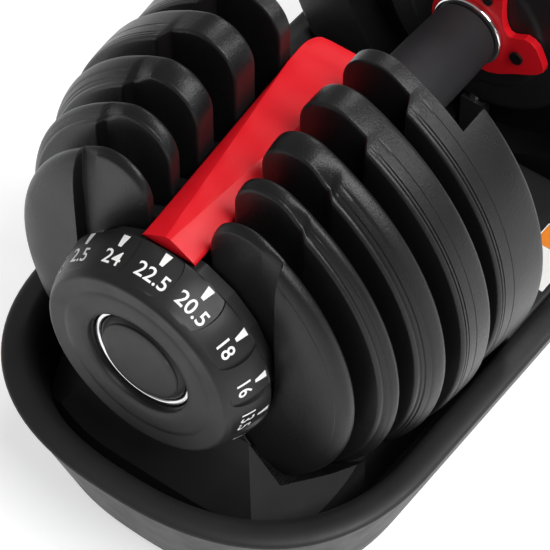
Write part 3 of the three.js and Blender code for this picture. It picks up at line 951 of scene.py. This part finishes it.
def loft(name, levels, closed_loop=False):
    """A solid through the tray's outline at each (height, inset). A closed loop is a ring with no caps."""
    verts = []
    faces = []
    count = len(tray_outline(0))
    for z, inset in levels:
        verts += [(x * MM, y * MM, z * MM) for x, y in tray_outline(inset)]
    total = len(levels)
    for level in range(total if closed_loop else total - 1):
        above = (level + 1) % total
        for i in range(count):
            j = (i + 1) % count
            faces.append([level * count + i, level * count + j, above * count + j, above * count + i])
    if not closed_loop:
        faces.append(list(range(count))[::-1])
        faces.append(list(range((total - 1) * count, total * count)))
    return face_outwards(mesh_object(name, verts, faces))


def skirt_inset(z, wall=0.0):
    slope = (21 - 1.2) / (SEAM_HEIGHT - FOOT_HEIGHT)
    return 21 + wall - (z - FOOT_HEIGHT) * slope


def skirt_mesh():
    levels = [(FOOT_HEIGHT, 26.0), (FOOT_HEIGHT, 23.4), (FOOT_HEIGHT + 0.5, 22.0), (FOOT_HEIGHT + 1.6, 21.0)]
    levels += [(z, skirt_inset(z)) for z in (8, 20, 34, 48, SEAM_HEIGHT - 1.3)]
    levels += [(SEAM_HEIGHT - 0.8, skirt_inset(SEAM_HEIGHT) + 0.6), (SEAM_HEIGHT - 0.8, skirt_inset(SEAM_HEIGHT) + 3)]
    levels += [(z, skirt_inset(z, 3)) for z in (48, 20, 8)]
    levels += [(FOOT_HEIGHT + 3, 26)]
    skirt = loft("skirt", levels)
    return smooth(skirt, 35)


# Under each dial the cradle ends in a nose with two horns. Beside the outer plates it is a terrace.
HORN_Y = 40.5
HORN_W = -50
HORN_FOOT_Y = HORN_Y + 15.5
TROUGH_RADIUS = 58.5                   # the hollow under the dial
WIDE = 80                              # beyond the cradle on either side
CRADLE_HALF = 69
NOSE_FALL = Vector((0.727, 1.098, 1))  # slope of the nose's side, along u and along y
TERRACE_W = -67.5
TERRACE_START = 134
NOSE_END = DIAL_FACE - 4.8
NOSE_START = DIAL_START - 2.6
CRADLE_LOW = BASIN_FLOOR - AXIS_HEIGHT - 1
CRADLE_TOP = CRADLE_HEIGHT - AXIS_HEIGHT


def across(name, outline, half):
    """A closed outline of (u, w), drawn out along y to both sides."""
    count = len(outline)
    verts = [(u * MM, y * MM, w * MM) for y in (-half, half) for u, w in outline]
    faces = [list(range(count)), list(range(2 * count - 1, count - 1, -1))]
    faces += [[i, (i + 1) % count, (i + 1) % count + count, i + count] for i in range(count)]
    return face_outwards(mesh_object(name, verts, faces))


def plan(name, outline, w0, w1):
    """A closed outline of (u, y), drawn out upwards."""
    count = len(outline)
    verts = [(u * MM, y * MM, w * MM) for w in (w0, w1) for u, y in outline]
    faces = [list(range(count)), list(range(2 * count - 1, count - 1, -1))]
    faces += [[i, (i + 1) % count, (i + 1) % count + count, i + count] for i in range(count)]
    return face_outwards(mesh_object(name, verts, faces))


def above_plane(sign, point, slope, start):
    """A cutter over a sloping plane on one side of the shaft, from u = start to past the nose."""
    verts = []
    for lift in (0, 60):
        for u, y in ((start, 20), (NOSE_END + 6, 20), (NOSE_END + 6, 95), (start, 95)):
            w = point.z - slope.x * (u - point.x) - slope.y * (y - point.y) + lift
            verts.append((u * MM, sign * y * MM, w * MM))
    faces = [[0, 1, 2, 3], [7, 6, 5, 4]] + [[i, i + 4, (i + 1) % 4 + 4, (i + 1) % 4] for i in range(4)]
    return face_outwards(mesh_object("plane_cut", verts, faces))


def nose_plan():
    """The nose and terrace seen from above: one smooth curve per side."""
    knots = [(TERRACE_START, 75.8), (146, 75.6), (160, 73.2), (172, 69.6), (179.5, 65.5), (184.5, 59),
             (187.5, 50), (190, 34), (NOSE_END, 12)]
    half = []
    for i in range(len(knots) - 1):
        p0, p1, p2, p3 = (Vector(knots[min(max(i + k, 0), len(knots) - 1)]) for k in (-1, 0, 1, 2))
        for step in range(5):
            t = step / 5
            half.append(0.5 * (2 * p1 + (p2 - p0) * t + (2 * p0 - 5 * p1 + 4 * p2 - p3) * t * t
                               + (3 * p1 - p0 - 3 * p2 + p3) * t ** 3))
    half = [(v.x, v.y) for v in half] + [knots[-1]]
    return half + [(u, -y) for u, y in reversed(half)]


def nose_solid():
    horn = math.atan2(HORN_W, HORN_Y)
    trough = arc((0, 0), TROUGH_RADIUS, horn, -math.pi - horn, 48)
    outline = [(-WIDE, CRADLE_LOW), (WIDE, CRADLE_LOW), (WIDE, TERRACE_W), (HORN_FOOT_Y, TERRACE_W), (HORN_Y, HORN_W)]
    outline += trough + [(-HORN_Y, HORN_W), (-HORN_FOOT_Y, TERRACE_W), (-WIDE, TERRACE_W)]
    nose = prism("nose", outline, NOSE_START, NOSE_END + 2)
    join(nose, block("terrace", TERRACE_START, NOSE_START + 0.5, -WIDE, WIDE, CRADLE_LOW, TERRACE_W))
    boolean(nose, plan("plan", nose_plan(), CRADLE_LOW, 0), "INTERSECT")
    far = NOSE_END + 30
    cut(nose, across("slope", [(DIAL_START - 2, HORN_W), (NOSE_END + 1, CRADLE_TOP), (far, CRADLE_TOP), (far, -20),
                               (DIAL_START - 2, -20)], 90))
    for sign in (-1, 1):
        cut(nose, above_plane(sign, Vector((NOSE_START, 40, HORN_W)), NOSE_FALL, TERRACE_START - 2))
    starts = {n: span(f"right_plate_{n}", 0)[0] for n in PLATES}
    reach = {n: span(f"right_plate_{n}", 1)[1] + 0.8 for n in PLATES}
    ends = {n: starts[n] + PLATE_THICKNESS[n] for n in PLATES}
    cut(nose, turned("envelope", [(0, starts[4]), (reach[4], starts[4]), (reach[3], ends[3]), (reach[2], ends[2]),
                                  (reach[1], ends[1] + 0.5), (0, ends[1] + 0.5)], 180))
    return nose


def cradle_mesh():
    cradle = block("cradle", DECK_HALF - 1, NOSE_START + 0.1, -CRADLE_HALF, CRADLE_HALF, CRADLE_LOW, CRADLE_TOP)
    join(cradle, nose_solid())
    for number in PLATES:
        inner = span(f"right_plate_{number}", 0)[0]
        radius = span(f"right_plate_{number}", 1)[1] + 0.6
        outer = inner + PLATE_THICKNESS[number]
        low, high = inner - 0.5, outer + 0.5
        cut(cradle, turned("groove", [(0, low), (radius, low), (radius, high), (0, high)], 180))
    bevelled(cradle, 1.8, 28, 4)
    return smooth(cradle, 34)


def liner_mesh():
    rim = [(SEAM_HEIGHT + 0.5, 5), (SEAM_HEIGHT + 0.5, 1.3), (SEAM_HEIGHT + 0.8, 0.5), (SEAM_HEIGHT + 1.5, 0.05)]
    outer = []
    for k in range(1, 9):
        a = math.pi / 2 * k / 8
        outer.append((SEAM_HEIGHT + 1.5 + (RIM_HEIGHT - SEAM_HEIGHT - 1.5) * math.sin(a), 6.5 * (1 - math.cos(a))))
    inner = [(RIM_HEIGHT - 0.02, RIM_WIDTH - 6.5)]
    for k in range(1, 11):
        a = math.pi / 2 * k / 10
        inner.append((RIM_HEIGHT - 9 * (1 - math.cos(a)), RIM_WIDTH - 6 + 8 * math.sin(a)))
    wall = [(50, RIM_WIDTH + 4.5), (30, 21), (BASIN_FLOOR + 6, 24.6), (BASIN_FLOOR + 2, 26), (BASIN_FLOOR, 30)]
    low = FOOT_HEIGHT + 3.4
    under = [(low, 30), (low, 25), (SEAM_HEIGHT - 4, 6.2)]
    ring = loft("liner", rim + outer + inner + wall + under, closed_loop=True)
    return smooth(ring, 40)


def basin_floor_mesh():
    """The floor of the basin."""
    low = FOOT_HEIGHT + 3.4
    floor = loft("floor", [(low, 28), (BASIN_FLOOR - 0.05, 28)])
    return smooth(floor, 35)


def middle_deck_mesh():
    foot, top = 82.5, 91.4
    outline = [(-foot, BASIN_FLOOR - 1), (foot, BASIN_FLOOR - 1), (top, DECK_HEIGHT), (-top, DECK_HEIGHT)]
    deck = prism("deck", outline, -DECK_HALF, DECK_HALF)
    bevelled(deck, 2.4, 40, 4)
    return smooth(deck, 32)


skirt = skirt_mesh()
skirt.name = "tray_outer_skirt"
finish_piece(skirt, TRAY_BLACK, "tray", "tray_skirt")
liner = liner_mesh()
liner.name = "tray_rim_and_basin"
finish_piece(liner, TRAY_BLACK, "tray", "tray_liner")
floor_piece = basin_floor_mesh()
floor_piece.name = "tray_basin_floor"
finish_piece(floor_piece, TRAY_BLACK, "tray", None)
deck_piece = middle_deck_mesh()
deck_piece.name = "tray_middle_deck"
finish_piece(deck_piece, TRAY_BLACK, "tray", None)
cradle_source = cradle_mesh()
for side in SIDES:
    place(cradle_source, f"{side}_tray_cradle", side, TRAY_BLACK, "tray", None)
bpy.data.objects.remove(cradle_source)


# ---- label on the tray's deck ----
def label_sheet(name, x0, x1, y0, y1, z, material, node):
    steps = 24
    verts = []
    for i in range(steps + 1):
        for j in range(9):
            x = x0 + (x1 - x0) * i / steps
            y = y0 + (y1 - y0) * j / 8
            curl = 0.05 * math.sin(TAU * i / steps * 1.5)
            verts.append((x * MM, y * MM, (z + curl) * MM))
    faces = []
    for i in range(steps):
        for j in range(8):
            a = i * 9 + j
            faces.append([a, a + 9, a + 10, a + 1])
    obj = mesh_object(name, verts, faces)
    solid = obj.modifiers.new("film", "SOLIDIFY")
    solid.thickness = 0.12 * MM
    solid.offset = 1
    applied(obj)
    return finish_piece(smooth(obj, 60), material, "tray", node)


label_low, label_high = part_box("label")
x0, y0 = label_low.x / MM, label_low.y / MM
x1, y1 = label_high.x / MM, label_high.y / MM
label_z = DECK_HEIGHT + 0.2
label_sheet("deck_label", x0, x1, y0, y1, label_z, PAPER, "label")
label_sheet("deck_label_band", x1 - 13, x1 - 0.6, y0 + 0.6, y1 - 0.6, label_z + 0.16, ORANGE, None)

# ---- CAD pieces that keep their shape ----
KEPT_MATERIALS = {
    "grip_rubber": RUBBER,
    "steel": STEEL,
    "grey_plastic": DISC_GREY,
    "black_plastic": BLACK,
    "chrome": CHROME,
}
slot_of = {row["node"]: row["material_slot"] for row in frame["record"]["subparts"]}
for name, obj in frame["nodes"].items():
    # Every screw takes the near-black steel, which paints the shade of its hole onto the screw head.
    material = SCREW_SHADE_STEEL if "screw" in name else KEPT_MATERIALS.get(slot_of[name])
    if material is not None:
        obj.data.materials.clear()
        obj.data.materials.append(material)

# ---- stage ----
FLOOR_REACH = 6.0                      # metres
floor_corners = [(FLOOR_REACH * x, FLOOR_REACH * y, 0) for x, y in ((-1, -1), (1, -1), (1, 1), (-1, 1))]
floor_mesh = bpy.data.meshes.new("floor")
floor_mesh.from_pydata(floor_corners, [], [[0, 1, 2, 3]])
floor = link(bpy.data.objects.new("floor", floor_mesh))
paper_floor = bpy.data.materials.new("studio_floor")
paper_floor.use_nodes = True
paper = paper_floor.node_tree.nodes["Principled BSDF"].inputs
paper["Base Color"].default_value = (0.62, 0.62, 0.625, 1)
paper["Roughness"].default_value = 0.9
paper["Emission Color"].default_value = (1, 1, 1, 1)
paper["Emission Strength"].default_value = 0.6
floor_mesh.materials.append(paper_floor)

world = bpy.data.worlds.new("studio")
world.use_nodes = True
world.node_tree.nodes["Background"].inputs["Color"].default_value = (1, 1, 1, 1)
world.node_tree.nodes["Background"].inputs["Strength"].default_value = 0.3
bpy.context.scene.world = world
bpy.context.scene.view_settings.view_transform = "Standard"


def area_light(name, location, target, size, power):
    data = bpy.data.lights.new(name, "AREA")
    data.shape = "RECTANGLE"
    data.size, data.size_y = size
    data.energy = power
    obj = link(bpy.data.objects.new(name, data))
    obj.location = location
    aim = Vector(target) - Vector(location)
    obj.rotation_euler = aim.to_track_quat("-Z", "Y").to_euler()
    return obj


CENTRE = (-0.05, 0, 0.12)
area_light("key_high", (-0.2, -1.1, 1.65), CENTRE, (1.2, 1.1), 34)
area_light("top_reflection", (0.95, 0.25, 1.6), CENTRE, (0.5, 0.5), 8)
area_light("side_softbox", (0.8, -1.1, 1.15), CENTRE, (0.3, 0.3), 4.5)
area_light("side_strip", (0.0, -1.6, 0.4), CENTRE, (0.8, 0.3), 0.9)

# ---- camera: looking down on the left end from the -y side ----
azimuth, elevation, roll = (math.radians(a) for a in (-52.705, 50.523, -0.271))
level = math.cos(elevation)
back = Vector((math.sin(azimuth) * level, -math.cos(azimuth) * level, math.sin(elevation)))
right = Vector((math.cos(azimuth), math.sin(azimuth), 0))
up = back.cross(right)
rolled_right = math.cos(roll) * right + math.sin(roll) * up
rolled_up = -math.sin(roll) * right + math.cos(roll) * up
camera_data = bpy.data.cameras.new("camera")
camera = link(bpy.data.objects.new("camera", camera_data))
camera_data.sensor_width = 36
camera_data.lens = 183.27
camera_data.shift_x = 0.0085
camera_data.shift_y = -0.0022
camera_data.clip_end = 20
dial_edge = Vector((-(DIAL_START + 1.4) * MM, 0, AXIS_HEIGHT * MM))
location = dial_edge + Vector((-0.5534, -0.4758, 0.9234))
camera.matrix_world = Matrix((
    (rolled_right.x, rolled_up.x, back.x, location.x),
    (rolled_right.y, rolled_up.y, back.y, location.y),
    (rolled_right.z, rolled_up.z, back.z, location.z),
    (0, 0, 0, 1),
))
bpy.context.scene.camera = camera
